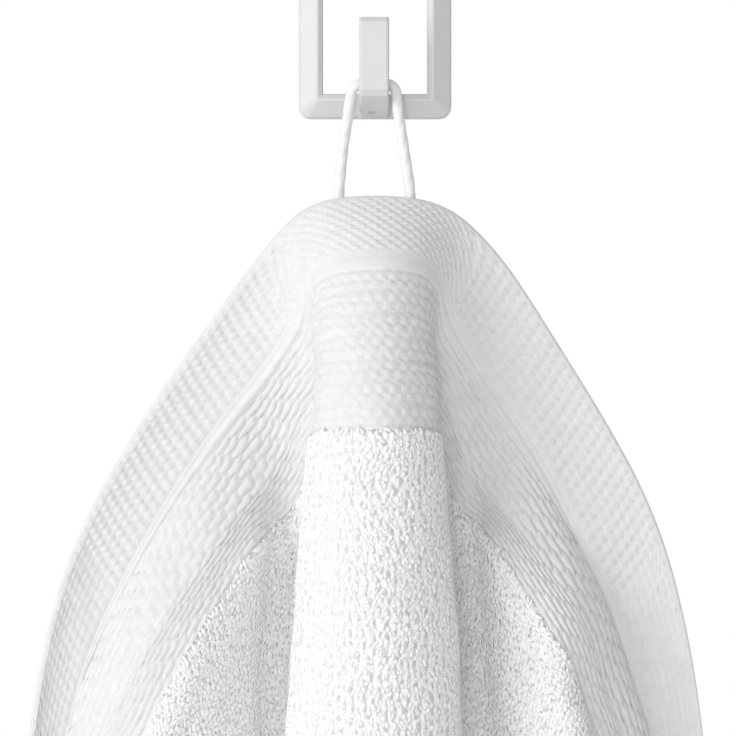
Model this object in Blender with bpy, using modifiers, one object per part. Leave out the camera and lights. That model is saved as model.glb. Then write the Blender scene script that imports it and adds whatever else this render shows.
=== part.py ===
"""Hand towel hanging by its cord loop on a square wall hook.

The wall plane is Y = 0 and the front faces -Y. The origin is the centre of the hook's
lower bar, on the wall.
"""
import math

import bmesh
import bpy
import numpy as np

MM = 0.001
MERGE_DISTANCE = 0.00001

# Towel, as cut: width along the weft, length down from the top hem
TOWEL_WIDTH = 500.0
TOWEL_LENGTH = 700.0
BORDER_THICKNESS = 2.2
RIB_THICKNESS = 3.4
TERRY_THICKNESS = 4.2
RIB_AT = 27.0
TERRY_AT = 82.0

# The towel's top edge midpoint, and how far each stretch of its middle line leans forward
HEM_MIDDLE = (0.0, -17.5, -30.5)
LEAN = (  # distance below the top hem, degrees forward of plumb
    (0, 50),
    (14, 40),
    (27, 25),
    (50, 12),
    (82, 6),
    (165, 4),
    (330, 1),
    (700, 0),
)

# Folds: each row is a place along the weft from the middle line. Its turn (degrees towards
# the wall) and its fall (degrees below level) are given on seven weft lines.
WEFT_LINES = (0, 27, 55, 82, 165, 330, 700)
LEFT_FOLDS = (  # name, along, turn on each weft line, fall on each weft line
    ("centre", 0, (0, 0, 0, 0, 0, 0, 0), (0, 0, 0, 0, 0, 0, 0)),
    ("brow", 12, (8, 30, 34, 34, 22, 18, 16), (6, 8, 3, 2, 3, 3, 2)),
    ("shoulder", 22, (10, 58, 64, 64, 40, 34, 30), (28, 34, 14, 8, 8, 6, 3)),
    ("side", 33, (8, 64, 86, 92, 84, 66, 52), (48, 62, 44, 30, 22, 10, 5)),
    ("gully", 57, (2, 10, 50, 70, 86, 80, 76), (54, 53, 61, 54, 36, 16, 8)),
    ("valley", 69, (0, 0, 0, -10, -20, 0, 10), (54, 50, 62, 40, 32, 24, 10)),
    ("rise", 80, (0, -2, -44, -84, -78, -64, -66), (54, 52, 44, 12, 20, 24, 10)),
    ("slope", 97, (-2, 0, -40, -44, -40, -60, -68), (56, 56, 44, 50, 44, 24, 10)),
    ("front", 130, (-2, 0, -26, -24, -24, -30, -10), (60, 61, 54, 58, 44, 24, 10)),
    ("crest", 158, (-2, 2, 10, 10, 24, 44, 62), (68, 64, 63, 66, 40, 24, 12)),
    ("back", 180, (0, 4, 24, 16, 52, 68, 76), (76, 73, 67, 61, 44, 26, 12)),
    ("dip", 210, (2, 2, 8, 4, 24, 10, -20), (82, 79, 75, 67, 46, 26, 12)),
    ("edge", 250, (2, -4, -10, -10, -40, -64, -70), (86, 83, 80, 74, 50, 28, 12)),
)
RIGHT_FOLDS = (  # name, along, turn on each weft line, fall on each weft line
    ("centre", 0, (0, 0, 0, 0, 0, 0, 0), (0, 0, 0, 0, 0, 0, 0)),
    ("brow", 12, (8, 32, 36, 36, 23, 18, 16), (6, 8, 3, 2, 3, 3, 2)),
    ("shoulder", 22, (10, 60, 66, 66, 42, 34, 32), (23, 36, 14, 4, 8, 6, 3)),
    ("side", 33, (8, 64, 88, 92, 84, 66, 54), (42, 64, 44, 28, 22, 10, 5)),
    ("gully", 57, (2, 10, 50, 70, 86, 80, 76), (56, 57, 61, 54, 36, 16, 8)),
    ("valley", 69, (0, 0, 0, -10, -20, 0, 8), (58, 56, 62, 40, 32, 24, 10)),
    ("rise", 80, (0, -2, -46, -86, -78, -64, -66), (58, 56, 44, 10, 20, 24, 10)),
    ("slope", 95, (-2, 0, -42, -48, -42, -60, -68), (58, 60, 44, 46, 44, 22, 10)),
    ("front", 124, (-2, 0, -28, -32, -28, -30, -12), (61, 65, 54, 56, 42, 24, 10)),
    ("crest", 145, (-2, 2, 20, 56, 46, 50, 62), (68, 68, 67, 68, 44, 26, 12)),
    ("back", 165, (0, 2, 24, 24, 54, 66, 74), (75, 73, 70, 62, 46, 26, 12)),
    ("dip", 205, (2, 2, 4, 2, 10, -6, -24), (82, 80, 76, 68, 48, 26, 12)),
    ("edge", 250, (2, -4, -10, -10, -44, -62, -66), (86, 84, 80, 74, 50, 28, 12)),
)
FOLD_SOFTNESS = 8
LINE_SOFTNESS = 4
WEFT_STEP = 1.0
LEAN_STEP = 0.25

# Tuck of the woven border beside the front fold: depth, place along the weft and its reach,
# and the weft lines between which it grows and fades
TUCK_DEPTH = 4.0
TUCK_AT = 40.0
TUCK_REACH = 10.0
TUCK_LINES = (24.0, 40.0, 74.0, 84.0)

# The towel's mesh: bands of columns across and of rows down (from, to, steps)
COLUMN_BANDS = (
    (0.0, 115.0, 10),
    (115.0, 385.0, 40),
    (385.0, 500.0, 10),
)
ROW_BANDS = (
    (0.0, 24.5, 4),
    (24.5, 29.5, 2),
    (29.5, 81.0, 9),
    (81.0, 83.0, 1),
    (83.0, 165.0, 7),
    (165.0, 330.0, 7),
    (330.0, 617.0, 9),
    (617.0, 619.0, 1),
    (619.0, 670.5, 3),
    (670.5, 675.5, 2),
    (675.5, 700.0, 2),
)

# Hook ring: a square frame, its section given from the inner back edge round to the outer back edge
RING_CENTRE_Z = 21.1
RING_SECTION = (  # half width of the square, distance from the wall, corner radius
    (17.05, 0.0, 0.4),
    (17.05, 6.2, 0.4),
    (17.4, 7.0, 0.5),
    (18.6, 7.8, 0.7),
    (19.2, 7.8, 0.9),
    (24.4, 4.4, 3.6),
    (25.0, 3.6, 4.0),
    (25.0, 0.0, 4.0),
)
CORNER_STEPS = 6

# Hook peg: its side outline, from the wall under the bar, out, up and back over the throat
PEG_CENTRE_X = -0.3
PEG_WIDTH = 9.7
PEG_OUTLINE = (  # distance from the wall, height
    (0.6, -3.5),
    (7.0, -3.7),
    (20.4, 2.6),
    (22.0, 4.6),
    (22.4, 26.8),
    (21.2, 28.2),
    (18.2, 28.2),
    (17.2, 26.8),
    (17.0, 6.6),
    (16.7, 5.2),
    (16.0, 4.4),
    (6.0, 4.4),
    (0.6, 3.4),
)
PEG_EDGE_RADIUS = 0.9
SCREW_DIMPLE_RADIUS = 1.2
SCREW_DIMPLE_DEPTH = 1.0
SCREW_DIMPLE_AT = (-0.9, 10.0, -2.25)

# Hanging loop: cord centre line from its left end, behind the hem, over the peg to the right end
CORD_DIAMETER = 3.6
CORD_LAY = 19.0
CORD_PLIES = 3
CORD_GROOVE = 0.17
CORD_POINTS = 84
PROFILE_POINTS = 12
LOOP_ROUTE = (
    (-11.6, -21.2, -41.9),
    (-11.7, -17.8, -38.7),
    (-11.8, -14.9, -34.8),
    (-11.8, -13.8, -30.4),
    (-11.5, -14.0, -25.0),
    (-10.4, -14.0, -13.9),
    (-9.1, -14.0, -5.4),
    (-8.3, -14.0, 0.6),
    (-7.5, -14.0, 4.6),
    (-5.3, -14.0, 6.6),
    (-2.6, -14.0, 6.6),
    (0.0, -14.0, 6.6),
    (2.6, -14.0, 6.6),
    (4.8, -14.0, 6.6),
    (6.8, -14.0, 4.4),
    (7.3, -14.0, -0.3),
    (8.0, -14.0, -5.4),
    (9.3, -14.0, -13.9),
    (11.0, -14.0, -25.0),
    (11.5, -13.8, -30.4),
    (11.6, -14.8, -34.8),
    (11.6, -17.7, -38.6),
    (11.5, -21.2, -41.8),
)


def clear_scene():
    for obj in list(bpy.data.objects):
        bpy.data.objects.remove(obj, do_unlink=True)


def make_collection(name):
    collection = bpy.data.collections.new(name)
    bpy.context.scene.collection.children.link(collection)
    return collection


def make_material(name, colour, roughness, metallic=0.0):
    material = bpy.data.materials.new(name)
    material.use_nodes = True
    shader = material.node_tree.nodes["Principled BSDF"]
    shader.inputs["Base Color"].default_value = (*colour, 1.0)
    shader.inputs["Roughness"].default_value = roughness
    shader.inputs["Metallic"].default_value = metallic
    return material


def mesh_object(name, bm, collection, material=None):
    mesh = bpy.data.meshes.new(name)
    bm.to_mesh(mesh)
    bm.free()
    obj = bpy.data.objects.new(name, mesh)
    collection.objects.link(obj)
    if material:
        mesh.materials.append(material)
    return obj


def curve_to_bmesh(obj):
    """Closed, welded bmesh of a curve object in world space; the curve object is removed."""
    bpy.context.view_layer.update()
    evaluated = obj.evaluated_get(bpy.context.evaluated_depsgraph_get())
    bm = bmesh.new()
    bm.from_mesh(bpy.data.meshes.new_from_object(evaluated))
    bmesh.ops.transform(bm, matrix=obj.matrix_world, verts=bm.verts)
    bmesh.ops.remove_doubles(bm, verts=bm.verts, dist=MERGE_DISTANCE)
    bmesh.ops.recalc_face_normals(bm, faces=bm.faces)
    bpy.data.objects.remove(obj, do_unlink=True)
    return bm


def soften(values, reach, axis):
    """Average the values along one axis with a bell-shaped window."""
    window = np.hanning(2 * reach + 1)
    window /= window.sum()
    padding = [(0, 0)] * values.ndim
    padding[axis] = (reach, reach)
    padded = np.pad(values, padding, mode="edge")
    return np.apply_along_axis(lambda row: np.convolve(row, window, "valid"), axis, padded)


def fold_angles(folds, column, below_hem, along_weft, mirror_sign):
    """Angles of one fold column (2 turn, 3 fall) over the half cloth, softened along the weft."""
    places = [fold[1] for fold in folds]
    by_line = [
        np.interp(along_weft, places, [fold[column][line] for fold in folds])
        for line in range(len(WEFT_LINES))
    ]
    angles = np.stack([np.interp(below_hem, WEFT_LINES, place) for place in np.array(by_line).T], 1)
    mirrored = mirror_sign * angles[:, ::-1][:, -FOLD_SOFTNESS:]
    return soften(np.concatenate([mirrored, angles], 1), FOLD_SOFTNESS, 1)[:, FOLD_SOFTNESS:]


def half_cloth(folds, below_hem, side):
    """Offsets from the middle line of a half cloth, walked along each weft thread at its true length."""
    steps = int(TOWEL_WIDTH / 2 / WEFT_STEP)
    along_weft = (np.arange(steps) + 0.5) * WEFT_STEP
    turn = np.radians(fold_angles(folds, 2, below_hem, along_weft, -1))
    fall = np.radians(fold_angles(folds, 3, below_hem, along_weft, 1))
    step = np.stack(
        [side * np.cos(turn) * np.cos(fall), np.sin(turn) * np.cos(fall), -np.sin(fall)], -1
    )
    start = np.zeros((len(below_hem), 1, 3))
    return np.concatenate([start, np.cumsum(step, 1) * WEFT_STEP], 1)


def middle_line(below_hem):
    """Points of the towel's middle warp thread."""
    walk = np.arange(0, TOWEL_LENGTH + LEAN_STEP, LEAN_STEP)
    lean = np.radians(np.interp(walk, [row[0] for row in LEAN], [row[1] for row in LEAN]))
    forward = HEM_MIDDLE[1] - np.cumsum(np.sin(lean)) * LEAN_STEP
    height = HEM_MIDDLE[2] - np.cumsum(np.cos(lean)) * LEAN_STEP
    return np.stack(
        [
            np.full(len(below_hem), HEM_MIDDLE[0]),
            np.interp(below_hem, walk, forward),
            np.interp(below_hem, walk, height),
        ],
        -1,
    )


def cloth_points(below_hem):
    """Middle surface of the hanging towel, one row of points for each distance below the hem."""
    walk = np.arange(0, TOWEL_LENGTH + WEFT_STEP, WEFT_STEP)
    middle = middle_line(walk)[:, None]
    left = middle + half_cloth(LEFT_FOLDS, walk, -1)
    right = middle + half_cloth(RIGHT_FOLDS, walk, 1)
    surface = soften(np.concatenate([left[:, ::-1], right[:, 1:]], 1), LINE_SOFTNESS, 0)
    surface += middle - soften(middle, LINE_SOFTNESS, 0)
    across = np.arange(surface.shape[1]) * WEFT_STEP - TOWEL_WIDTH / 2
    tuck = np.exp(-(((np.abs(across) - TUCK_AT) / TUCK_REACH) ** 2)) * np.sign(across) * TUCK_DEPTH
    surface[..., 0] -= tuck[None] * np.interp(walk, TUCK_LINES, (0, 1, 1, 0))[:, None]
    lower = np.clip(np.floor(below_hem).astype(int), 0, len(walk) - 2)
    part = (np.array(below_hem) - lower)[:, None, None]
    return surface[lower] * (1 - part) + surface[lower + 1] * part


def cloth_thickness(below_hem):
    """Thickness of the cloth at a distance below the top hem, the same from either end."""
    from_end = min(below_hem, TOWEL_LENGTH - below_hem)
    if from_end > TERRY_AT:
        return TERRY_THICKNESS
    if abs(from_end - RIB_AT) < 0.5:
        return RIB_THICKNESS
    return BORDER_THICKNESS


def spread(bands):
    """Places along a length, evenly spaced within each band."""
    places = [bands[0][0]]
    for start, end, count in bands:
        places += [start + (end - start) * step / count for step in range(1, count + 1)]
    return places


def make_towel(collection, material):
    rows, columns = spread(ROW_BANDS), spread(COLUMN_BANDS)
    surface = cloth_points(np.array(rows))
    bm = bmesh.new()
    bmesh.ops.create_grid(bm, x_segments=len(columns) - 1, y_segments=len(rows) - 1, size=0.5)
    thickness_layer = bm.verts.layers.deform.verify()
    for vert in bm.verts:
        column = round((vert.co.x + 0.5) * (len(columns) - 1))
        row = round((0.5 - vert.co.y) * (len(rows) - 1))
        place = columns[column]
        whole = min(int(place), surface.shape[1] - 2)
        point = surface[row, whole] * (1 - place + whole) + surface[row, whole + 1] * (place - whole)
        vert.co = point * MM
        vert[thickness_layer][0] = cloth_thickness(rows[row]) / TERRY_THICKNESS
    towel = mesh_object("towel", bm, collection, material)
    towel.vertex_groups.new(name="thickness")
    shell = towel.modifiers.new("thickness", "SOLIDIFY")
    shell.thickness = TERRY_THICKNESS * MM
    shell.offset = 0.0
    shell.vertex_group = "thickness"
    towel.data.shade_smooth()
    return towel


def rounded_square(half_width, corner_radius):
    """Points of a square with rounded corners, anticlockwise from the lower right corner."""
    inner = half_width - corner_radius
    points = []
    for corner, (sx, sz) in enumerate(((1, -1), (1, 1), (-1, 1), (-1, -1))):
        for step in range(CORNER_STEPS + 1):
            angle = math.radians(90 * (corner - 1) + 90 * step / CORNER_STEPS)
            points.append(
                (sx * inner + corner_radius * math.cos(angle), sz * inner + corner_radius * math.sin(angle))
            )
    return points


def make_ring(collection, material):
    """The hook's square frame: a loft through one rounded square for each point of its section."""
    bm = bmesh.new()
    loops = []
    for half_width, depth, radius in RING_SECTION:
        square = rounded_square(half_width, radius)
        loops.append([bm.verts.new((x * MM, -depth * MM, (RING_CENTRE_Z + z) * MM)) for x, z in square])
    for loop, following in zip(loops, loops[1:] + loops[:1]):
        for index in range(len(loop)):
            after = (index + 1) % len(loop)
            bm.faces.new((loop[index], loop[after], following[after], following[index]))
    bmesh.ops.recalc_face_normals(bm, faces=bm.faces)
    return mesh_object("wall_hook", bm, collection, material)


def make_peg(collection):
    """The upturned peg: its side outline as a filled curve, extruded to its width and rounded."""
    curve = bpy.data.curves.new("peg_outline", "CURVE")
    curve.dimensions = "2D"
    curve.fill_mode = "BOTH"
    curve.extrude = PEG_WIDTH / 2 * MM
    outline = curve.splines.new("POLY")
    outline.points.add(len(PEG_OUTLINE) - 1)
    for point, (depth, height) in zip(outline.points, PEG_OUTLINE):
        point.co = (-depth * MM, height * MM, 0.0, 1.0)
    outline.use_cyclic_u = True
    guide = bpy.data.objects.new("peg_outline", curve)
    guide.rotation_euler = (math.radians(90), 0.0, math.radians(90))
    guide.location = (PEG_CENTRE_X * MM, 0.0, 0.0)
    collection.objects.link(guide)
    bm = curve_to_bmesh(guide)
    peg = mesh_object("peg", bm, collection)
    rounding = peg.modifiers.new("edges", "BEVEL")
    rounding.width = PEG_EDGE_RADIUS * MM
    rounding.segments = 3
    rounding.limit_method = "ANGLE"
    rounding.angle_limit = math.radians(50)
    return peg


def make_dimple(collection):
    """Cutter for the small screw recess under the peg."""
    across, depth, height = SCREW_DIMPLE_AT
    bm = bmesh.new()
    bmesh.ops.create_cone(
        bm,
        cap_ends=True,
        segments=20,
        radius1=SCREW_DIMPLE_RADIUS * MM,
        radius2=SCREW_DIMPLE_RADIUS * MM,
        depth=2 * SCREW_DIMPLE_DEPTH * MM,
    )
    dimple = mesh_object("screw_dimple", bm, collection)
    underside = PEG_OUTLINE[2][1] - PEG_OUTLINE[1][1], PEG_OUTLINE[2][0] - PEG_OUTLINE[1][0]
    dimple.location = (across * MM, -depth * MM, height * MM)
    dimple.rotation_euler = (-math.atan2(*underside), 0.0, 0.0)
    return dimple


def make_hook(collection, cutters, material):
    hook = make_ring(collection, material)
    for operand, operation in ((make_peg(cutters), "UNION"), (make_dimple(cutters), "DIFFERENCE")):
        operand.hide_render = True
        operand.display_type = "WIRE"
        join = hook.modifiers.new(operand.name, "BOOLEAN")
        join.operation = operation
        join.solver = "EXACT"
        join.object = operand
    return hook


def smooth_route(points, count):
    """Evenly spaced points on a Catmull-Rom curve through the given points."""
    route = np.array([points[0], *points, points[-1]], float)
    fine = []
    for before, start, end, after in zip(route, route[1:], route[2:], route[3:]):
        for t in np.linspace(0, 1, 24, endpoint=False):
            fine.append(
                0.5
                * (
                    2 * start
                    + (end - before) * t
                    + (2 * before - 5 * start + 4 * end - after) * t**2
                    + (3 * start - before - 3 * end + after) * t**3
                )
            )
    fine = np.array(fine + [route[-1]])
    distance = np.concatenate([[0], np.cumsum(np.linalg.norm(np.diff(fine, axis=0), axis=1))])
    even = np.linspace(0, distance[-1], count)
    return np.stack([np.interp(even, distance, fine[:, axis]) for axis in range(3)], 1), distance[-1]


def make_cord_profile(collection):
    """Closed outline of the laid cord: one lobe for each ply."""
    curve = bpy.data.curves.new("cord_profile", "CURVE")
    curve.dimensions = "2D"
    outline = curve.splines.new("POLY")
    outline.points.add(PROFILE_POINTS - 1)
    for index, point in enumerate(outline.points):
        angle = 2 * math.pi * index / PROFILE_POINTS
        lobe = 1 - CORD_GROOVE * (1 - abs(math.cos(CORD_PLIES * angle / 2)))
        radius = CORD_DIAMETER / 2 * lobe * MM
        point.co = (radius * math.cos(angle), radius * math.sin(angle), 0.0, 1.0)
    outline.use_cyclic_u = True
    profile = bpy.data.objects.new("cord_profile", curve)
    profile.hide_render = True
    profile.display_type = "WIRE"
    collection.objects.link(profile)
    return profile


def make_loop(collection, cutters, material):
    route, length = smooth_route(LOOP_ROUTE, CORD_POINTS)
    curve = bpy.data.curves.new("hanging_loop", "CURVE")
    curve.dimensions = "3D"
    curve.bevel_mode = "OBJECT"
    curve.bevel_object = make_cord_profile(cutters)
    curve.use_fill_caps = True
    spline = curve.splines.new("POLY")
    spline.points.add(len(route) - 1)
    for index, (point, place) in enumerate(zip(spline.points, route)):
        point.co = (*(place * MM), 1.0)
        point.tilt = 2 * math.pi * length / CORD_LAY * index / (len(route) - 1)
    guide = bpy.data.objects.new("loop_route", curve)
    collection.objects.link(guide)
    loop = mesh_object("hanging_loop", curve_to_bmesh(guide), collection, material)
    loop.data.shade_smooth()
    return loop


def main():
    clear_scene()
    parts = make_collection("hand_towel_on_wall_hook")
    cutters = make_collection("cutters")
    make_towel(parts, make_material("towel_cotton", (0.86, 0.85, 0.82), 0.95))
    make_loop(parts, cutters, make_material("loop_cotton", (0.88, 0.87, 0.84), 0.9))
    make_hook(parts, cutters, make_material("white_paint", (0.84, 0.84, 0.84), 0.35))


main()
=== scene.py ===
"""Looks of a hand towel hanging by its cord loop on a square wall hook.

The wall plane is Y = 0 and the front faces -Y. The origin is the centre of the hook's
lower bar, on the wall. Lengths are in millimetres until a mesh is made, unless a heading says
metres.
"""

import math

import bpy
import numpy as np
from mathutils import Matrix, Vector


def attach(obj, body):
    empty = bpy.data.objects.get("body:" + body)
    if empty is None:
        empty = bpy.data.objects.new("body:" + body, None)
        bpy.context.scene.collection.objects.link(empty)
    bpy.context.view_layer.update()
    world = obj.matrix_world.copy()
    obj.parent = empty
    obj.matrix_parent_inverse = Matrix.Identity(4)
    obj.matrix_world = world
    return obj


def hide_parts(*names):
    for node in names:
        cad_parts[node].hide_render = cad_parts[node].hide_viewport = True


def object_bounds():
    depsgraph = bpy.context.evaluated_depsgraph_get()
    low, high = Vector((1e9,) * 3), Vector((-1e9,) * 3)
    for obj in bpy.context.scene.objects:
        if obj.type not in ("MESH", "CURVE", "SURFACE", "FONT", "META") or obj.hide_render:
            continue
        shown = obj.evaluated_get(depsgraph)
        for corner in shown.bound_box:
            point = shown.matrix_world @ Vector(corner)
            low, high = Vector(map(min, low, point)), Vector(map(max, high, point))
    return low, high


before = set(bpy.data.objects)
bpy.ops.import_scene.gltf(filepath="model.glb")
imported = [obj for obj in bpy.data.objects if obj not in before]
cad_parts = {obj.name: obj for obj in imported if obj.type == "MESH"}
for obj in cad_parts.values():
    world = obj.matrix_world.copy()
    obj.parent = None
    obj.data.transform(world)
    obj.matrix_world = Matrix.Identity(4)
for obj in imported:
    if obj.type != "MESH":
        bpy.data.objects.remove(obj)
CAD_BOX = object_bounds()

MM = 0.001

# Towel, as cut: width along the weft, length down from the top hem
TOWEL_WIDTH = 500.0
TOWEL_LENGTH = 700.0
BORDER_THICKNESS = 2.2
TERRY_THICKNESS = 4.2
GROUND_THICKNESS = 3.8
RIB_AT = 27.0
TERRY_AT = 82.0

# The towel's top edge midpoint, and how far each stretch of its middle line leans forward
HEM_MIDDLE = (0.0, -17.5, -30.5)
LEAN = (  # distance below the top hem, degrees forward of plumb
    (0, 50),
    (14, 40),
    (27, 25),
    (50, 12),
    (82, 6),
    (165, 4),
    (330, 1),
    (700, 0),
)

# Folds: each row is a place along the weft from the middle line. Its turn (degrees towards
# the wall) and its fall (degrees below level) are given on seven weft lines.
WEFT_LINES = (0, 27, 55, 82, 165, 330, 700)
LEFT_FOLDS = (  # name, along, turn on each weft line, fall on each weft line
    ("centre", 0, (0, 0, 0, 0, 0, 0, 0), (0, 0, 0, 0, 0, 0, 0)),
    ("brow", 12, (8, 30, 34, 34, 22, 18, 16), (6, 8, 3, 2, 3, 3, 2)),
    ("shoulder", 22, (10, 58, 64, 64, 40, 34, 30), (28, 34, 14, 8, 8, 6, 3)),
    ("side", 33, (8, 64, 86, 92, 84, 66, 52), (48, 62, 44, 30, 22, 10, 5)),
    ("gully", 57, (2, 10, 50, 70, 86, 80, 76), (54, 53, 61, 54, 36, 16, 8)),
    ("valley", 69, (0, 0, 0, -10, -20, 0, 10), (54, 50, 62, 40, 32, 24, 10)),
    ("rise", 80, (0, -2, -44, -84, -78, -64, -66), (54, 52, 44, 12, 20, 24, 10)),
    ("slope", 97, (-2, 0, -40, -44, -40, -60, -68), (56, 56, 44, 50, 44, 24, 10)),
    ("front", 130, (-2, 0, -26, -24, -24, -30, -10), (60, 61, 54, 58, 44, 24, 10)),
    ("crest", 158, (-2, 2, 10, 10, 24, 44, 62), (68, 64, 63, 66, 40, 24, 12)),
    ("back", 180, (0, 4, 24, 16, 52, 68, 76), (76, 73, 67, 61, 44, 26, 12)),
    ("dip", 210, (2, 2, 8, 4, 24, 10, -20), (82, 79, 75, 67, 46, 26, 12)),
    ("edge", 250, (2, -4, -10, -10, -40, -64, -70), (86, 83, 80, 74, 50, 28, 12)),
)
RIGHT_FOLDS = (  # name, along, turn on each weft line, fall on each weft line
    ("centre", 0, (0, 0, 0, 0, 0, 0, 0), (0, 0, 0, 0, 0, 0, 0)),
    ("brow", 12, (8, 32, 36, 36, 23, 18, 16), (6, 8, 3, 2, 3, 3, 2)),
    ("shoulder", 22, (10, 60, 66, 66, 42, 34, 32), (23, 36, 14, 4, 8, 6, 3)),
    ("side", 33, (8, 64, 88, 92, 84, 66, 54), (42, 64, 44, 28, 22, 10, 5)),
    ("gully", 57, (2, 10, 50, 70, 86, 80, 76), (56, 57, 61, 54, 36, 16, 8)),
    ("valley", 69, (0, 0, 0, -10, -20, 0, 8), (58, 56, 62, 40, 32, 24, 10)),
    ("rise", 80, (0, -2, -46, -86, -78, -64, -66), (58, 56, 44, 10, 20, 24, 10)),
    ("slope", 95, (-2, 0, -42, -48, -42, -60, -68), (58, 60, 44, 46, 44, 22, 10)),
    ("front", 124, (-2, 0, -28, -32, -28, -30, -12), (61, 65, 54, 56, 42, 24, 10)),
    ("crest", 145, (-2, 2, 20, 56, 46, 50, 62), (68, 68, 67, 68, 44, 26, 12)),
    ("back", 165, (0, 2, 24, 24, 54, 66, 74), (75, 73, 70, 62, 46, 26, 12)),
    ("dip", 205, (2, 2, 4, 2, 10, -6, -24), (82, 80, 76, 68, 48, 26, 12)),
    ("edge", 250, (2, -4, -10, -10, -44, -62, -66), (86, 84, 80, 74, 50, 28, 12)),
)
FOLD_SOFTNESS = 8
LINE_SOFTNESS = 4
WEFT_STEP = 1.0
LEAN_STEP = 0.25

# Unevenness of the whole cloth: height, and distance between its dents
DENT_HEIGHT = 0.7
DENT_PITCH = 24

# Seed of each kind of noise, and the distance between its values
DENT_SEEDS = (3, 4)
CELL_WANDER_SEED = 5
CELL_WANDER_PITCH = 9.0
LUMP_SEEDS = (6, 7)
LUMP_PITCHES = (5.0, 3.0)
LEAN_SEED = 8
LEAN_PITCH = 14.0

# Tuck of the woven border beside the front fold: depth, place along the weft and its reach,
# and the weft lines between which it grows and fades
TUCK_DEPTH = 4.0
TUCK_AT = 40.0
TUCK_REACH = 10.0
TUCK_LINES = (24.0, 40.0, 74.0, 84.0)

# Where the cloth's two flanks begin, and how far their threads are drawn aslant of the weft
FLANK_FROM = 22.0
FLANK_TO = 50.0
FLANK_SLANT = 0.85
TOP_ENDS = 350.0

# Woven relief, as heights above the cloth's own face
GRAIN_WIDTH = 4.0
GRAIN_LENGTH = 3.3
GRAIN_FLANK_LENGTH = 5.4
GRAIN_RISE = 0.8
GRAINS_END = 23.2
GRAINS_MIDDLE = 12.0
RIB_RISE = 0.6
RIB_HALF_WIDTH = 1.25
GROOVE_DEPTH = 0.4
GROOVE_HALF_WIDTH = 0.4
GROOVES_AT = (23.7, 25.3, 28.8)
CELLS_FROM = 29.4
CELLS_TO = 81.9
CELL_ROWS = 14
CELL_LENGTH = 7.8
CELL_SLANT = 0.65
CELL_RISE = 1.35
CELL_WANDER = 0.14
CELLS_MIDDLE = 55.0
TERRY_LUMP = 0.3

# The whole cloth is one closed sheet, thin inside the woven borders. Each border band is a
# closed sheet round it: from, to, row spacing, and column spacing within the fine half width
# and beyond it
CLOTH_STEP = 3.3
CLOTH_BREAKS = ((0.6, 81.9), (82.3, 617.7), (618.1, 699.4))
CORE_THICKNESS = 0.3
FINE_HALF_WIDTH = 150.0
BORDER_BANDS = (
    ("towel_top_hem", 0.0, 29.0, 0.5, 0.8, 1.4),
    ("towel_top_honeycomb", 28.8, 83.4, 0.55, 0.95, 1.4),
    ("towel_bottom_honeycomb", 616.6, 671.2, 0.9, 1.5, 1.5),
    ("towel_bottom_hem", 671.0, 700.0, 0.8, 1.3, 1.3),
)
RIM_STEPS = 4

# Terry loops, modelled one by one where the cloth is seen close
PILE_SEED = 11
PILE_ROW_PITCH = 1.95
PILE_COLUMN_PITCH = 1.75
PILE_HALF_WIDTH = 200.0
PILE_ROWS_TO = 300.0
PILE_FULL_TO = -222.0
PILE_FADE = 60.0
BEAD_LENGTH = 2.3
BEAD_RADIUS = 0.66
BEAD_ARCH = 0.5
BEAD_SUNK = 0.75
BEAD_RINGS = 4
BEAD_SIDES = 5
PILE_PIECES = 3
LEAN_SWEEP = 0.75
LEAN_SPREAD = 0.38

# Hanging loop: cord centre line from its left end, behind the hem, over the peg to the right end
CORD_DIAMETER = 3.6
CORD_LAY = 19.0
CORD_PLIES = 3
CORD_GROOVE = 0.1
CORD_POINTS = 260
CORD_PATH_STRIDE = 4
CORD_SIDES = 36
LOOP_ROUTE = (
    (-11.6, -21.2, -41.9),
    (-11.7, -17.8, -38.7),
    (-11.8, -14.9, -34.8),
    (-11.8, -13.8, -30.4),
    (-11.5, -14.0, -25.0),
    (-10.4, -14.0, -13.9),
    (-9.1, -14.0, -5.4),
    (-8.3, -14.0, 0.6),
    (-7.5, -14.0, 4.6),
    (-5.3, -14.0, 6.6),
    (-2.6, -14.0, 6.6),
    (0.0, -14.0, 6.6),
    (2.6, -14.0, 6.6),
    (4.8, -14.0, 6.6),
    (6.8, -14.0, 4.4),
    (7.3, -14.0, -0.3),
    (8.0, -14.0, -5.4),
    (9.3, -14.0, -13.9),
    (11.0, -14.0, -25.0),
    (11.5, -13.8, -30.4),
    (11.6, -14.8, -34.8),
    (11.6, -17.7, -38.6),
    (11.5, -21.2, -41.8),
)

# Camera at the photograph's place, the floor, and the light: these lengths are in metres
CAMERA_AT = (-0.0023, -1.6, -0.0855)
CAMERA_LENS = 238.5
SENSOR_WIDTH = 36.0
FLOOR_RADIUS = 1.6
FLOOR_GAP = 0.012
LIGHTS = (  # name, place, target, size, power, colour
    ("key", (-1.55, -1.0, 0.35), (0.0, 0.0, -0.12), 1.2, 16.0, (0.97, 0.985, 1.0)),
    ("front", (-0.25, -2.3, -0.05), (0.0, 0.0, -0.2), 0.9, 15.0, (1.0, 0.995, 0.985)),
)
SKY_LEFT = (0.54, 0.545, 0.56)
SKY_RIGHT = (0.47, 0.465, 0.455)


# Shape of the hanging cloth


def soften(values, reach, axis):
    """Average the values along one axis with a bell-shaped window."""
    window = np.hanning(2 * reach + 1)
    window /= window.sum()
    padding = [(0, 0)] * values.ndim
    padding[axis] = (reach, reach)
    padded = np.pad(values, padding, mode="edge")
    return np.apply_along_axis(lambda row: np.convolve(row, window, "valid"), axis, padded)


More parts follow.
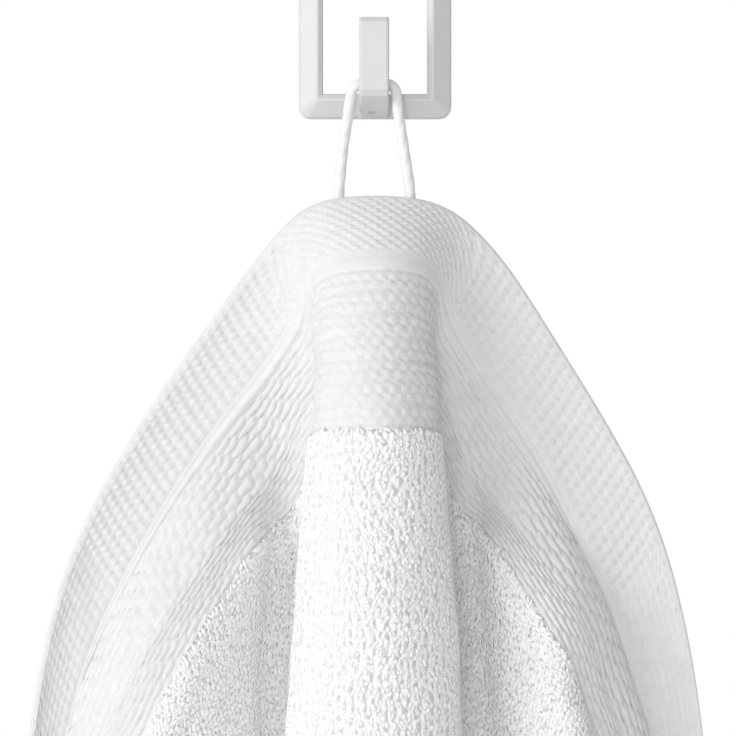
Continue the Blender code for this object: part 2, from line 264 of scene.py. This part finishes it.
def fold_angles(folds, column, below_hem, along_weft, mirror_sign):
    """Angles of one fold column (2 turn, 3 fall) over the half cloth, softened along the weft."""
    places = [fold[1] for fold in folds]
    by_line = [
        np.interp(along_weft, places, [fold[column][line] for fold in folds])
        for line in range(len(WEFT_LINES))
    ]
    angles = np.stack([np.interp(below_hem, WEFT_LINES, place) for place in np.array(by_line).T], 1)
    mirrored = mirror_sign * angles[:, ::-1][:, -FOLD_SOFTNESS:]
    return soften(np.concatenate([mirrored, angles], 1), FOLD_SOFTNESS, 1)[:, FOLD_SOFTNESS:]


def half_cloth(folds, below_hem, side):
    """Offsets from the middle line of a half cloth, walked along each weft thread at its true length."""
    steps = int(TOWEL_WIDTH / 2 / WEFT_STEP)
    along_weft = (np.arange(steps) + 0.5) * WEFT_STEP
    turn = np.radians(fold_angles(folds, 2, below_hem, along_weft, -1))
    fall = np.radians(fold_angles(folds, 3, below_hem, along_weft, 1))
    step = np.stack(
        [side * np.cos(turn) * np.cos(fall), np.sin(turn) * np.cos(fall), -np.sin(fall)], -1
    )
    start = np.zeros((len(below_hem), 1, 3))
    return np.concatenate([start, np.cumsum(step, 1) * WEFT_STEP], 1)


def middle_line(below_hem):
    """Points of the towel's middle warp thread."""
    walk = np.arange(0, TOWEL_LENGTH + LEAN_STEP, LEAN_STEP)
    lean = np.radians(np.interp(walk, [row[0] for row in LEAN], [row[1] for row in LEAN]))
    forward = HEM_MIDDLE[1] - np.cumsum(np.sin(lean)) * LEAN_STEP
    height = HEM_MIDDLE[2] - np.cumsum(np.cos(lean)) * LEAN_STEP
    return np.stack(
        [
            np.full(len(below_hem), HEM_MIDDLE[0]),
            np.interp(below_hem, walk, forward),
            np.interp(below_hem, walk, height),
        ],
        -1,
    )


def unit(vectors):
    return vectors / np.maximum(np.linalg.norm(vectors, axis=-1, keepdims=True), 1e-9)


def front_normals(surface):
    """Unit normals of a grid of points, on the side away from the wall."""
    return unit(np.cross(np.gradient(surface, axis=0), np.gradient(surface, axis=1)))


def resample(values, places, axis):
    """Values of an evenly spaced grid at other places along one axis, on smooth curves."""
    count = values.shape[axis]
    start = np.clip(np.floor(places).astype(int), 0, count - 2)
    t = places - start
    weights = 0.5 * np.stack(
        [
            -t + 2 * t**2 - t**3,
            2 - 5 * t**2 + 3 * t**3,
            t + 4 * t**2 - 3 * t**3,
            -(t**2) + t**3,
        ]
    )
    rows = np.moveaxis(values, axis, 0)
    spread = (slice(None),) + (None,) * (rows.ndim - 1)
    taps = [np.clip(start + shift, 0, count - 1) for shift in (-1, 0, 1, 2)]
    return np.moveaxis(sum(rows[tap] * weight[spread] for tap, weight in zip(taps, weights)), 0, axis)


def smooth_noise(seed, across, down, pitch):
    """Even noise from about -1 to 1 at places across and down the cloth, in millimetres."""
    source = np.random.default_rng(seed)
    columns = int(TOWEL_WIDTH / pitch) + 4
    rows = int(TOWEL_LENGTH / pitch) + 4
    grid = source.uniform(-1, 1, (rows, columns))
    lines = resample(grid, down / pitch, 0)
    return resample(lines, (across + TOWEL_WIDTH / 2) / pitch, 1)


def hanging_surface():
    """Middle surface of the cloth, a point for each weft step down and along the weft."""
    walk = np.arange(0, TOWEL_LENGTH + WEFT_STEP, WEFT_STEP)
    middle = middle_line(walk)[:, None]
    left = middle + half_cloth(LEFT_FOLDS, walk, -1)
    right = middle + half_cloth(RIGHT_FOLDS, walk, 1)
    surface = soften(np.concatenate([left[:, ::-1], right[:, 1:]], 1), LINE_SOFTNESS, 0)
    surface += middle - soften(middle, LINE_SOFTNESS, 0)
    across = np.arange(surface.shape[1]) * WEFT_STEP - TOWEL_WIDTH / 2
    dents = smooth_noise(DENT_SEEDS[0], across, walk, DENT_PITCH)
    dents = dents + 0.5 * smooth_noise(DENT_SEEDS[1], across, walk, DENT_PITCH / 2)
    dents *= np.clip(walk / DENT_PITCH, 0, 1)[:, None]
    surface = surface + front_normals(surface) * dents[..., None] * DENT_HEIGHT
    tuck = bell(np.abs(across) - TUCK_AT, TUCK_REACH) * np.sign(across) * TUCK_DEPTH
    surface[..., 0] -= tuck[None] * np.interp(walk, TUCK_LINES, (0, 1, 1, 0))[:, None]
    return surface


# Woven relief


def bell(distance, half_width):
    return np.exp(-((distance / half_width) ** 2))


def flank_share(across, down):
    """0 in the middle of the width and at the lower end, 1 on the two flanks below the top hem."""
    share = np.clip((np.abs(across) - FLANK_FROM) / (FLANK_TO - FLANK_FROM), 0, 1)
    return share * share * (3 - 2 * share) * (down < TOP_ENDS)


def along_threads(across, down, middle, share):
    """Places along the weft, counted so that the weave stands square to its rows on the flanks."""
    return across + np.sign(across) * share * FLANK_SLANT * (down - middle)


def grain_relief(across, down, from_end, share):
    """Small raised grains in staggered rows."""
    drawn = along_threads(across, down, GRAINS_MIDDLE, share)
    centre = np.cos(2 * math.pi * across / GRAIN_WIDTH) * np.cos(2 * math.pi * from_end / GRAIN_LENGTH)
    flank = np.cos(2 * math.pi * drawn / GRAIN_WIDTH) * np.cos(2 * math.pi * from_end / GRAIN_FLANK_LENGTH)
    wave = centre * (1 - share) + flank * share
    shown = np.clip(from_end / 2.0, 0, 1) * np.clip((GRAINS_END - from_end) / 0.8, 0, 1)
    return GRAIN_RISE * (np.clip(wave, 0, 1) ** 0.7 - 0.3) * shown


def rib_relief(from_end, share):
    """One smooth rib with a fine groove on each side of it, and one more above."""
    rib = RIB_RISE * np.exp(-(np.abs(from_end - RIB_AT) / RIB_HALF_WIDTH) ** 3)
    grooves = sum(GROOVE_DEPTH * bell(from_end - at, GROOVE_HALF_WIDTH) for at in GROOVES_AT)
    return (rib - grooves) * (0.2 + 0.8 * share)


def pillow(along, rows, slant, seam):
    """Puffed cells between rows, with a thin slanting seam at the ends of each cell."""
    place = rows - np.floor(rows) - 0.5
    across_row = (1 - np.abs(2 * place) ** 3.0) ** 0.6
    end = along / CELL_LENGTH + slant * place
    end = np.abs(2 * (end - np.floor(end) - 0.5))
    return across_row * (1 - seam * end**7)


def cell_relief(across, down, from_end, share, wander):
    """Woven cells in rows, straight in the middle of the width and slanting on the flanks."""
    rows = (from_end - CELLS_FROM) / (CELLS_TO - CELLS_FROM) * CELL_ROWS + wander
    drawn = along_threads(across, down, CELLS_MIDDLE, share)
    straight = rows + 0.15 * np.cos(4 * math.pi * (across / CELL_LENGTH + wander))
    shifted = 2 * across + 12 * wander + CELL_LENGTH / 2 * (np.floor(straight) % 2)
    centre = pillow(shifted, straight, 0.3, 0.9)
    swing = 0.08 * np.cos(2 * math.pi * (drawn / CELL_LENGTH + wander))
    flank = pillow(drawn + 4 * wander, rows + swing, -CELL_SLANT * np.sign(across), 0.8)
    shown = np.clip((from_end - CELLS_FROM) / 0.6, 0, 1) * np.clip((CELLS_TO - from_end) / 0.6, 0, 1)
    height = 0.7 * centre * (1 - share) + flank * share
    return CELL_RISE * (height * shown - 0.7)


def border_height(across, down):
    """Height of the woven border's face above the middle of the cloth."""
    wander = CELL_WANDER * smooth_noise(CELL_WANDER_SEED, across, down, CELL_WANDER_PITCH)
    across, down = across[None], down[:, None]
    from_end = np.minimum(down, TOWEL_LENGTH - down)
    share = flank_share(across, down)
    cells = cell_relief(across, down, from_end, share, wander)
    plain = grain_relief(across, down, from_end, share) + rib_relief(from_end, share)
    in_cells = np.clip((from_end - CELLS_FROM + 0.3) / 0.6, 0, 1)
    return BORDER_THICKNESS / 2 + plain * (1 - in_cells) + cells * in_cells


def pile_share(height):
    """Share of the terry loops that are modelled at a height, 1 where the cloth is seen close."""
    return np.clip((height - PILE_FULL_TO + PILE_FADE) / PILE_FADE, 0, 1)


def cloth_height(across, down, surface, front):
    """Height of the whole cloth's face: thin in the borders, and ground where loops are modelled."""
    lumps = smooth_noise(LUMP_SEEDS[0], across, down, LUMP_PITCHES[0])
    lumps = lumps + 0.6 * smooth_noise(LUMP_SEEDS[1], across, down, LUMP_PITCHES[1])
    height = TERRY_THICKNESS / 2 + TERRY_LUMP * lumps
    if front:
        share = pile_share(surface[..., 2]) * (np.abs(across) < PILE_HALF_WIDTH)[None]
        height = height + (GROUND_THICKNESS / 2 - height) * share
    in_terry = (down > TERRY_AT) & (down < TOWEL_LENGTH - TERRY_AT)
    return np.where(in_terry[:, None], height, CORE_THICKNESS / 2)


# Meshes


def build_mesh(name, points, quads, flat_places, material):
    """Mesh object from points, faces of four corners and each point's place on the flat cloth."""
    mesh = bpy.data.meshes.new(name)
    mesh.vertices.add(len(points))
    mesh.vertices.foreach_set("co", (points * MM).astype(np.float32).ravel())
    mesh.loops.add(quads.size)
    mesh.loops.foreach_set("vertex_index", quads.astype(np.int32).ravel())
    mesh.polygons.add(len(quads))
    mesh.polygons.foreach_set("loop_start", np.arange(0, quads.size, 4, dtype=np.int32))
    mesh.update(calc_edges=True)
    layer = mesh.uv_layers.new(name="flat")
    layer.data.foreach_set("uv", (flat_places[quads.ravel()] * MM).astype(np.float32).ravel())
    mesh.shade_smooth()
    mesh.materials.append(material)
    obj = bpy.data.objects.new(name, mesh)
    bpy.context.scene.collection.objects.link(obj)
    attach(obj, "root")
    return obj


def grid_quads(rows, columns):
    """Faces of a grid of points, seen from the front."""
    index = np.arange(rows * columns).reshape(rows, columns)
    corners = (index[:-1, :-1], index[1:, :-1], index[1:, 1:], index[:-1, 1:])
    return np.stack([corner.ravel() for corner in corners], 1)


def perimeter(rows, columns):
    """Indices around a grid, along its first row, last column, last row and first column."""
    index = np.arange(rows * columns).reshape(rows, columns)
    sides = (index[0, :-1], index[:-1, -1], index[-1, :0:-1], index[:0:-1, 0])
    return np.concatenate(sides)


def outward_directions(surface):
    """At each point, the direction away from the nearest edges of the sheet."""
    down, across = np.gradient(surface, axis=0), np.gradient(surface, axis=1)
    away = np.zeros_like(surface)
    away[0] -= unit(down[0])
    away[-1] += unit(down[-1])
    away[:, 0] -= unit(across[:, 0])
    away[:, -1] += unit(across[:, -1])
    return unit(away)


def build_shell(name, surface, normals, front_height, back_height, flat_places, material):
    """Closed sheet with its own front and back faces and a rounded rim."""
    rows, columns = surface.shape[:2]
    front = (surface + normals * front_height[..., None]).reshape(-1, 3)
    back = (surface - normals * back_height[..., None]).reshape(-1, 3)
    edge = perimeter(rows, columns)
    away = outward_directions(surface).reshape(-1, 3)[edge]
    middle, half = (front[edge] + back[edge]) / 2, (front[edge] - back[edge]) / 2
    reach = np.linalg.norm(half, axis=1, keepdims=True)
    points, places, rings = [front, back], [flat_places, flat_places], [edge]
    for step in range(1, RIM_STEPS):
        angle = math.pi * step / RIM_STEPS
        points.append(middle + half * math.cos(angle) + away * reach * math.sin(angle))
        places.append(flat_places[edge])
        rings.append(2 * len(front) + (step - 1) * len(edge) + np.arange(len(edge)))
    rings.append(edge + len(front))
    faces = grid_quads(rows, columns)
    quads = [faces, faces[:, ::-1] + len(front)]
    for ring, following in zip(rings, rings[1:]):
        after, following_after = np.roll(ring, -1), np.roll(following, -1)
        quads.append(np.stack([ring, after, following_after, following], 1))
    return build_mesh(name, np.concatenate(points), np.concatenate(quads), np.concatenate(places), material)


def spaced(start, end, step):
    return np.linspace(start, end, int(round((end - start) / step)) + 1)


def band_columns(fine_step, coarse_step):
    """Places along the weft, closer together in the middle of the width."""
    half = TOWEL_WIDTH / 2
    inner = spaced(-FINE_HALF_WIDTH, FINE_HALF_WIDTH, fine_step)
    outer = spaced(FINE_HALF_WIDTH, half, coarse_step)[1:]
    return np.concatenate([-outer[::-1], inner, outer])


def build_sheet(name, surface, normals, down, across, heights, material):
    """Closed sheet at the given places on the cloth, from a function for its front and back heights."""
    along = (across + TOWEL_WIDTH / 2) / WEFT_STEP
    points = resample(resample(surface, down / WEFT_STEP, 0), along, 1)
    facing = unit(resample(resample(normals, down / WEFT_STEP, 0), along, 1))
    places = np.stack(np.broadcast_arrays(across[None], down[:, None]), -1).reshape(-1, 2)
    return build_shell(name, points, facing, *heights(across, down, points), places, material)


def band_heights(across, down, points):
    """Front and back heights of a woven band, which has the same relief on both faces."""
    return [border_height(across, down)] * 2


def build_cloth(surface, normals, terry, border):
    """The whole cloth as one closed sheet, and the relief of its four woven bands round it."""
    down = np.concatenate([spaced(start, end, CLOTH_STEP) for start, end in CLOTH_BREAKS])
    across = spaced(-TOWEL_WIDTH / 2, TOWEL_WIDTH / 2, CLOTH_STEP)
    cloth = build_sheet(
        "towel_cloth",
        surface,
        normals,
        down,
        across,
        lambda *places: [cloth_height(*places, front) for front in (True, False)],
        terry,
    )
    bands = []
    for name, start, end, row_step, fine_step, coarse_step in BORDER_BANDS:
        down, across = spaced(start, end, row_step), band_columns(fine_step, coarse_step)
        bands.append(build_sheet(name, surface, normals, down, across, band_heights, border))
    return cloth, bands


def pile_roots(surface, normals, source):
    """Places of the modelled loops: point, normal, downward direction and place on the flat cloth."""
    down = np.arange(TERRY_AT + 1.2, PILE_ROWS_TO, PILE_ROW_PITCH)
    across = np.arange(-PILE_HALF_WIDTH, PILE_HALF_WIDTH, PILE_COLUMN_PITCH)
    across, down = np.meshgrid(across, down)
    across[::2] += PILE_COLUMN_PITCH / 2
    across = across + source.uniform(-0.55, 0.55, across.shape)
    down = down + source.uniform(-0.75, 0.75, down.shape)
    row = np.round(down / WEFT_STEP).astype(int)
    column = np.round((across + TOWEL_WIDTH / 2) / WEFT_STEP).astype(int)
    warp = np.gradient(surface, axis=0)[row, column]
    weft = np.gradient(surface, axis=1)[row, column]
    off_grid = (down - row)[..., None] * warp + (across + TOWEL_WIDTH / 2 - column)[..., None] * weft
    points = surface[row, column] + off_grid
    kept = source.uniform(0, 1, down.shape) < pile_share(points[..., 2])
    places = np.stack([across, down], -1)
    return points[kept], normals[row, column][kept], unit(warp[kept]), places[kept]


def bead_points(root, normal, warp, source, lean):
    """Rings of points round each loop: a short arched bead lying along the warp."""
    count = len(root)
    size = source.uniform(0.82, 1.18, (count, 1))
    length = BEAD_LENGTH * size * source.uniform(0.8, 1.2, (count, 1))
    weft = unit(np.cross(normal, warp))
    along = unit(warp * np.cos(lean) + weft * np.sin(lean))
    side = unit(np.cross(normal, along))
    arch = BEAD_ARCH * source.uniform(0.75, 1.3, (count, 1))
    base = root + normal * (GROUND_THICKNESS / 2 - BEAD_SUNK)
    rings = []
    for ring in range(BEAD_RINGS):
        t = ring / (BEAD_RINGS - 1)
        rise, swell = math.sin(math.pi * t) ** 0.8, 0.72 + 0.28 * math.sin(math.pi * t)
        centre = base + along * length * (t - 0.5) + normal * arch * rise
        tangent = unit(along * length + normal * arch * math.pi * math.cos(math.pi * t))
        out = np.cross(side, tangent)
        for step in range(BEAD_SIDES):
            angle = 2 * math.pi * (step + 0.5 * (ring % 2)) / BEAD_SIDES
            offset = side * math.cos(angle) + out * math.sin(angle)
            rings.append(centre + offset * BEAD_RADIUS * size * swell)
    return np.stack(rings, 1)


def bead_quads():
    """Faces of one bead, its rings joined in order."""
    quads = []
    for ring in range(BEAD_RINGS - 1):
        for step in range(BEAD_SIDES):
            after = (step + 1) % BEAD_SIDES
            quads.append(
                (
                    ring * BEAD_SIDES + step,
                    (ring + 1) * BEAD_SIDES + step,
                    (ring + 1) * BEAD_SIDES + after,
                    ring * BEAD_SIDES + after,
                )
            )
    return np.array(quads)


def build_pile(surface, normals, material):
    """Terry loops as joined meshes, denser where the cloth is seen close."""
    source = np.random.default_rng(PILE_SEED)
    root, normal, warp, places = pile_roots(surface, normals, source)
    half = TOWEL_WIDTH / 2
    weft, warp_places = np.arange(TOWEL_WIDTH + 1) - half, np.arange(TOWEL_LENGTH + 1)
    sweep = smooth_noise(LEAN_SEED, weft, warp_places, LEAN_PITCH)
    drift = sweep[np.round(places[:, 1]).astype(int), np.round(places[:, 0] + half).astype(int)]
    lean = (LEAN_SWEEP * drift + source.normal(0, LEAN_SPREAD, len(root)))[:, None]
    beads = bead_points(root, normal, warp, source, lean)
    shares = np.array_split(np.arange(len(root)), PILE_PIECES)
    pieces = []
    for number, share in enumerate(shares):
        starts = np.arange(len(share))[:, None, None] * BEAD_RINGS * BEAD_SIDES
        quads = (bead_quads()[None] + starts).reshape(-1, 4)
        flat_places = np.repeat(places[share], BEAD_RINGS * BEAD_SIDES, 0)
        name = f"towel_pile_{number + 1}"
        pieces.append(build_mesh(name, beads[share].reshape(-1, 3), quads, flat_places, material))
    return pieces


# Hanging cord


def smooth_route(points, count):
    """Evenly spaced points on a Catmull-Rom curve through the given points."""
    route = np.array([points[0], *points, points[-1]], float)
    fine = []
    for before, start, end, after in zip(route, route[1:], route[2:], route[3:]):
        for t in np.linspace(0, 1, 24, endpoint=False):
            fine.append(
                0.5
                * (
                    2 * start
                    + (end - before) * t
                    + (2 * before - 5 * start + 4 * end - after) * t**2
                    + (3 * start - before - 3 * end + after) * t**3
                )
            )
    fine = np.array(fine + [route[-1]])
    distance = np.concatenate([[0], np.cumsum(np.linalg.norm(np.diff(fine, axis=0), axis=1))])
    even = np.linspace(0, distance[-1], count)
    return np.stack([np.interp(even, distance, fine[:, axis]) for axis in range(3)], 1), distance[-1]


def build_cord(material):
    """The laid cord: a tube whose three plies turn round it."""
    route, length = smooth_route(LOOP_ROUTE, CORD_POINTS)
    tangent = unit(np.gradient(route, axis=0))
    side = unit(np.cross(tangent, np.array([0.0, 1.0, 0.0]) + 1e-6))
    for index in range(1, len(route)):
        carried = side[index - 1] - tangent[index] * (side[index - 1] @ tangent[index])
        side[index] = unit(carried)
    out = np.cross(tangent, side)
    turn = 2 * math.pi * length / CORD_LAY * np.linspace(0, 1, CORD_POINTS)[:, None]
    angle = 2 * math.pi * np.arange(CORD_SIDES)[None] / CORD_SIDES
    lobe = 1 - CORD_GROOVE * (1 - np.abs(np.cos(CORD_PLIES * (angle - turn) / 2)))
    radius = (CORD_DIAMETER / 2 * lobe)[..., None]
    ring = side[:, None] * np.cos(angle)[..., None] + out[:, None] * np.sin(angle)[..., None]
    points = (route[:, None] + ring * radius).reshape(-1, 3)
    index = np.arange(CORD_POINTS * CORD_SIDES).reshape(CORD_POINTS, CORD_SIDES)
    after = np.roll(index, -1, 1)
    corners = (index[:-1], after[:-1], after[1:], index[1:])
    quads = np.stack([corner.ravel() for corner in corners], 1)
    along = np.linspace(0, length, CORD_POINTS)[:, None]
    places = np.stack(np.broadcast_arrays(CORD_DIAMETER * angle / 2, along), -1).reshape(-1, 2)
    cord = build_mesh("loop_cord", points, quads, places, material)
    path = route[::CORD_PATH_STRIDE] * MM
    if (len(route) - 1) % CORD_PATH_STRIDE:
        path = np.concatenate([path, route[-1:] * MM])
    return cord


# Materials: these lengths are in metres


def new_material(name, colour, roughness):
    material = bpy.data.materials.new(name)
    material.use_nodes = True
    tree = material.node_tree
    shader = tree.nodes["Principled BSDF"]
    shader.inputs["Base Color"].default_value = (*colour, 1.0)
    shader.inputs["Roughness"].default_value = roughness
    return material, tree, shader


def add_node(tree, kind, settings=(), inputs=()):
    node = tree.nodes.new(kind)
    for key, value in dict(settings).items():
        setattr(node, key, value)
    for key, value in dict(inputs).items():
        node.inputs[key].default_value = value
    return node


def flat_coordinates(tree, scale):
    """Coordinates on the flat cloth, multiplied by a scale for each direction."""
    source = add_node(tree, "ShaderNodeUVMap", {"uv_map": "flat"})
    mapping = add_node(tree, "ShaderNodeMapping", {}, {"Scale": scale})
    tree.links.new(source.outputs["UV"], mapping.inputs["Vector"])
    return mapping.outputs["Vector"]


def add_noise(tree, vector, scale, detail):
    noise = add_node(
        tree, "ShaderNodeTexNoise", {"noise_dimensions": "3D"}, {"Scale": scale, "Detail": detail}
    )
    tree.links.new(vector, noise.inputs["Vector"])
    return noise.outputs["Fac"]


def add_bump(tree, height, distance, strength, before=None):
    bump = add_node(tree, "ShaderNodeBump", {}, {"Strength": strength, "Distance": distance})
    tree.links.new(height, bump.inputs["Height"])
    if before:
        tree.links.new(before, bump.inputs["Normal"])
    return bump.outputs["Normal"]


def add_tint(tree, factor, shader, low, high):
    """Base colour between two shades, by a factor."""
    ramp = tree.nodes.new("ShaderNodeValToRGB")
    ramp.color_ramp.elements[0].position = 0.3
    ramp.color_ramp.elements[0].color = (*low, 1.0)
    ramp.color_ramp.elements[1].position = 0.7
    ramp.color_ramp.elements[1].color = (*high, 1.0)
    tree.links.new(factor, ramp.inputs["Fac"])
    tree.links.new(ramp.outputs["Color"], shader.inputs["Base Color"])


def object_noise(tree, scale, detail):
    source = add_node(tree, "ShaderNodeTexCoord")
    return add_noise(tree, source.outputs["Object"], scale, detail)


def soft_cotton(shader, sheen):
    shader.inputs["Sheen Weight"].default_value = sheen
    shader.inputs["Sheen Roughness"].default_value = 0.5
    shader.inputs["Specular IOR Level"].default_value = 0.25


def soft_inside(shader):
    """Light that spreads a little way inside the pile."""
    shader.inputs["Subsurface Weight"].default_value = 0.2
    shader.inputs["Subsurface Radius"].default_value = (1.0, 1.0, 1.0)
    shader.inputs["Subsurface Scale"].default_value = 0.001


def border_material():
    """Flat-woven cotton: fine warp and weft yarns and a faint unevenness of tone."""
    material, tree, shader = new_material("towel_border_cotton", (0.77, 0.77, 0.765), 0.9)
    soft_cotton(shader, 0.12)
    waves = []
    for direction, pitch in (("X", 0.0009), ("Y", 0.0008)):
        vector = flat_coordinates(tree, (1.0, 1.0, 1.0))
        wave = add_node(
            tree,
            "ShaderNodeTexWave",
            {"wave_type": "BANDS", "bands_direction": direction, "wave_profile": "SIN"},
            {"Scale": 2 * math.pi / (20 * pitch), "Distortion": 1.2, "Detail": 2.0, "Detail Scale": 1.5},
        )
        tree.links.new(vector, wave.inputs["Vector"])
        waves.append(wave.outputs["Fac"])
    yarns = add_node(tree, "ShaderNodeMath", {"operation": "MULTIPLY"})
    tree.links.new(waves[0], yarns.inputs[0])
    tree.links.new(waves[1], yarns.inputs[1])
    fuzz = object_noise(tree, 1900.0, 3.0)
    normal = add_bump(tree, yarns.outputs["Value"], 0.00012, 0.6)
    normal = add_bump(tree, fuzz, 0.0002, 0.35, normal)
    tree.links.new(normal, shader.inputs["Normal"])
    add_tint(tree, object_noise(tree, 260.0, 4.0), shader, (0.75, 0.75, 0.745), (0.795, 0.795, 0.79))
    return material


def terry_material(name, loops_shown):
    """Terry: soft loops as cells where they aren't modelled, with the yarn's own fuzz."""
    material, tree, shader = new_material(name, (0.95, 0.95, 0.945), 0.95)
    soft_cotton(shader, 0.15)
    soft_inside(shader)
    fuzz = object_noise(tree, 1500.0, 4.0)
    normal = None
    if loops_shown:
        vector = flat_coordinates(tree, (1 / 0.0021, 1 / 0.0034, 1.0))
        cells = add_node(
            tree,
            "ShaderNodeTexVoronoi",
            {"voronoi_dimensions": "2D", "feature": "SMOOTH_F1"},
            {"Scale": 1.0, "Smoothness": 0.35, "Randomness": 0.85},
        )
        tree.links.new(vector, cells.inputs["Vector"])
        depth = add_node(tree, "ShaderNodeMath", {"operation": "SUBTRACT"}, {0: 1.0})
        tree.links.new(cells.outputs["Distance"], depth.inputs[1])
        normal = add_bump(tree, depth.outputs["Value"], 0.0022, 0.9)
    normal = add_bump(tree, fuzz, 0.0006, 0.5, normal)
    tree.links.new(normal, shader.inputs["Normal"])
    add_tint(tree, object_noise(tree, 420.0, 3.0), shader, (0.94, 0.94, 0.93), (0.96, 0.96, 0.955))
    return material


def cord_material():
    """Laid cotton cord: fine yarns running round each ply, with painted shade darkening the hollows between
    yarns.
    """
    material, tree, shader = new_material("loop_cotton", (0.86, 0.86, 0.85), 0.85)
    soft_cotton(shader, 0.12)
    vector = flat_coordinates(tree, (1 / 0.0006, 1 / 0.0035, 1.0))
    yarns = add_noise(tree, vector, 1.0, 3.0)
    normal = add_bump(tree, yarns, 0.0004, 0.5)
    normal = add_bump(tree, object_noise(tree, 2400.0, 3.0), 0.00015, 0.4, normal)
    tree.links.new(normal, shader.inputs["Normal"])
    # Painted shade: the base colour follows the yarn relief, darker where the yarns sink between each
    # other.
    add_tint(tree, yarns, shader, (0.82, 0.82, 0.81), (0.88, 0.88, 0.87))
    return material


def paint_material():
    """Satin white paint over metal, with a faint orange-peel surface."""
    material, tree, shader = new_material("hook_white_paint", (0.67, 0.67, 0.67), 0.45)
    shader.inputs["Specular IOR Level"].default_value = 0.35
    shader.inputs["Coat Weight"].default_value = 0.05
    shader.inputs["Coat Roughness"].default_value = 0.25
    normal = add_bump(tree, object_noise(tree, 700.0, 2.0), 0.00004, 0.5)
    tree.links.new(normal, shader.inputs["Normal"])
    add_tint(tree, object_noise(tree, 90.0, 3.0), shader, (0.66, 0.66, 0.655), (0.68, 0.68, 0.68))
    return material


def floor_material():
    material, tree, shader = new_material("pale_floor", (0.9, 0.9, 0.9), 0.8)
    add_tint(tree, object_noise(tree, 6.0, 2.0), shader, (0.89, 0.89, 0.89), (0.91, 0.91, 0.91))
    return material


# Stage, light and camera


def build_floor(material):
    """Round pale floor a little below the towel."""
    low = CAD_BOX[0].z - FLOOR_GAP
    bpy.ops.mesh.primitive_circle_add(
        vertices=96, radius=FLOOR_RADIUS, fill_type="NGON", location=(0.0, -0.2, low)
    )
    floor = bpy.context.object
    floor.name = "pale_floor"
    floor.data.materials.append(material)


def add_area_light(name, place, target, size, power, colour):
    light = bpy.data.lights.new(name, "AREA")
    light.shape = "DISK"
    light.size = size
    light.energy = power
    light.color = colour
    obj = bpy.data.objects.new(name, light)
    obj.location = place
    direction = Vector(target) - Vector(place)
    obj.rotation_euler = direction.to_track_quat("-Z", "Y").to_euler()
    bpy.context.scene.collection.objects.link(obj)


def build_world():
    """White surroundings: brighter on the left, and plain white where the camera sees them."""
    world = bpy.data.worlds.new("studio")
    world.use_nodes = True
    bpy.context.scene.world = world
    tree = world.node_tree
    backdrop = tree.nodes["Background"]
    backdrop.inputs["Color"].default_value = (1.0, 1.0, 1.0, 1.0)
    output = tree.nodes["World Output"]
    lit = add_node(tree, "ShaderNodeBackground")
    place = add_node(tree, "ShaderNodeTexCoord")
    split = add_node(tree, "ShaderNodeSeparateXYZ")
    tree.links.new(place.outputs["Generated"], split.inputs["Vector"])
    ramp = tree.nodes.new("ShaderNodeValToRGB")
    spread = add_node(
        tree, "ShaderNodeMapRange", {}, {"From Min": -1.0, "From Max": 1.0, "To Min": 0.0, "To Max": 1.0}
    )
    tree.links.new(split.outputs["X"], spread.inputs["Value"])
    ramp.color_ramp.elements[0].color = (*SKY_LEFT, 1.0)
    ramp.color_ramp.elements[1].color = (*SKY_RIGHT, 1.0)
    tree.links.new(spread.outputs["Result"], ramp.inputs["Fac"])
    tree.links.new(ramp.outputs["Color"], lit.inputs["Color"])
    seen = add_node(tree, "ShaderNodeLightPath")
    mix = add_node(tree, "ShaderNodeMixShader")
    tree.links.new(seen.outputs["Is Camera Ray"], mix.inputs["Fac"])
    tree.links.new(lit.outputs["Background"], mix.inputs[1])
    tree.links.new(backdrop.outputs["Background"], mix.inputs[2])
    tree.links.new(mix.outputs["Shader"], output.inputs["Surface"])


def build_camera():
    camera = bpy.data.cameras.new("camera")
    camera.lens = CAMERA_LENS
    camera.sensor_width = SENSOR_WIDTH
    camera.clip_start = 0.05
    camera.clip_end = 20.0
    obj = bpy.data.objects.new("camera", camera)
    obj.location = CAMERA_AT
    obj.rotation_euler = (math.radians(90), 0.0, 0.0)
    bpy.context.scene.collection.objects.link(obj)
    bpy.context.scene.camera = obj


def main():
    bpy.context.scene.view_settings.view_transform = "Standard"
    build_camera()
    surface = hanging_surface()
    normals = front_normals(surface)
    terry = terry_material("towel_terry_cotton", True)
    cloth, bands = build_cloth(surface, normals, terry, border_material())
    pile = build_pile(surface, normals, terry_material("towel_pile_cotton", False))
    cord = build_cord(cord_material())
    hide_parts("towel")
    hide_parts("hanging_loop")
    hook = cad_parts["wall_hook"]
    hook.data.materials.clear()
    hook.data.materials.append(paint_material())
    build_floor(floor_material())
    build_world()
    for light in LIGHTS:
        add_area_light(*light)


main()
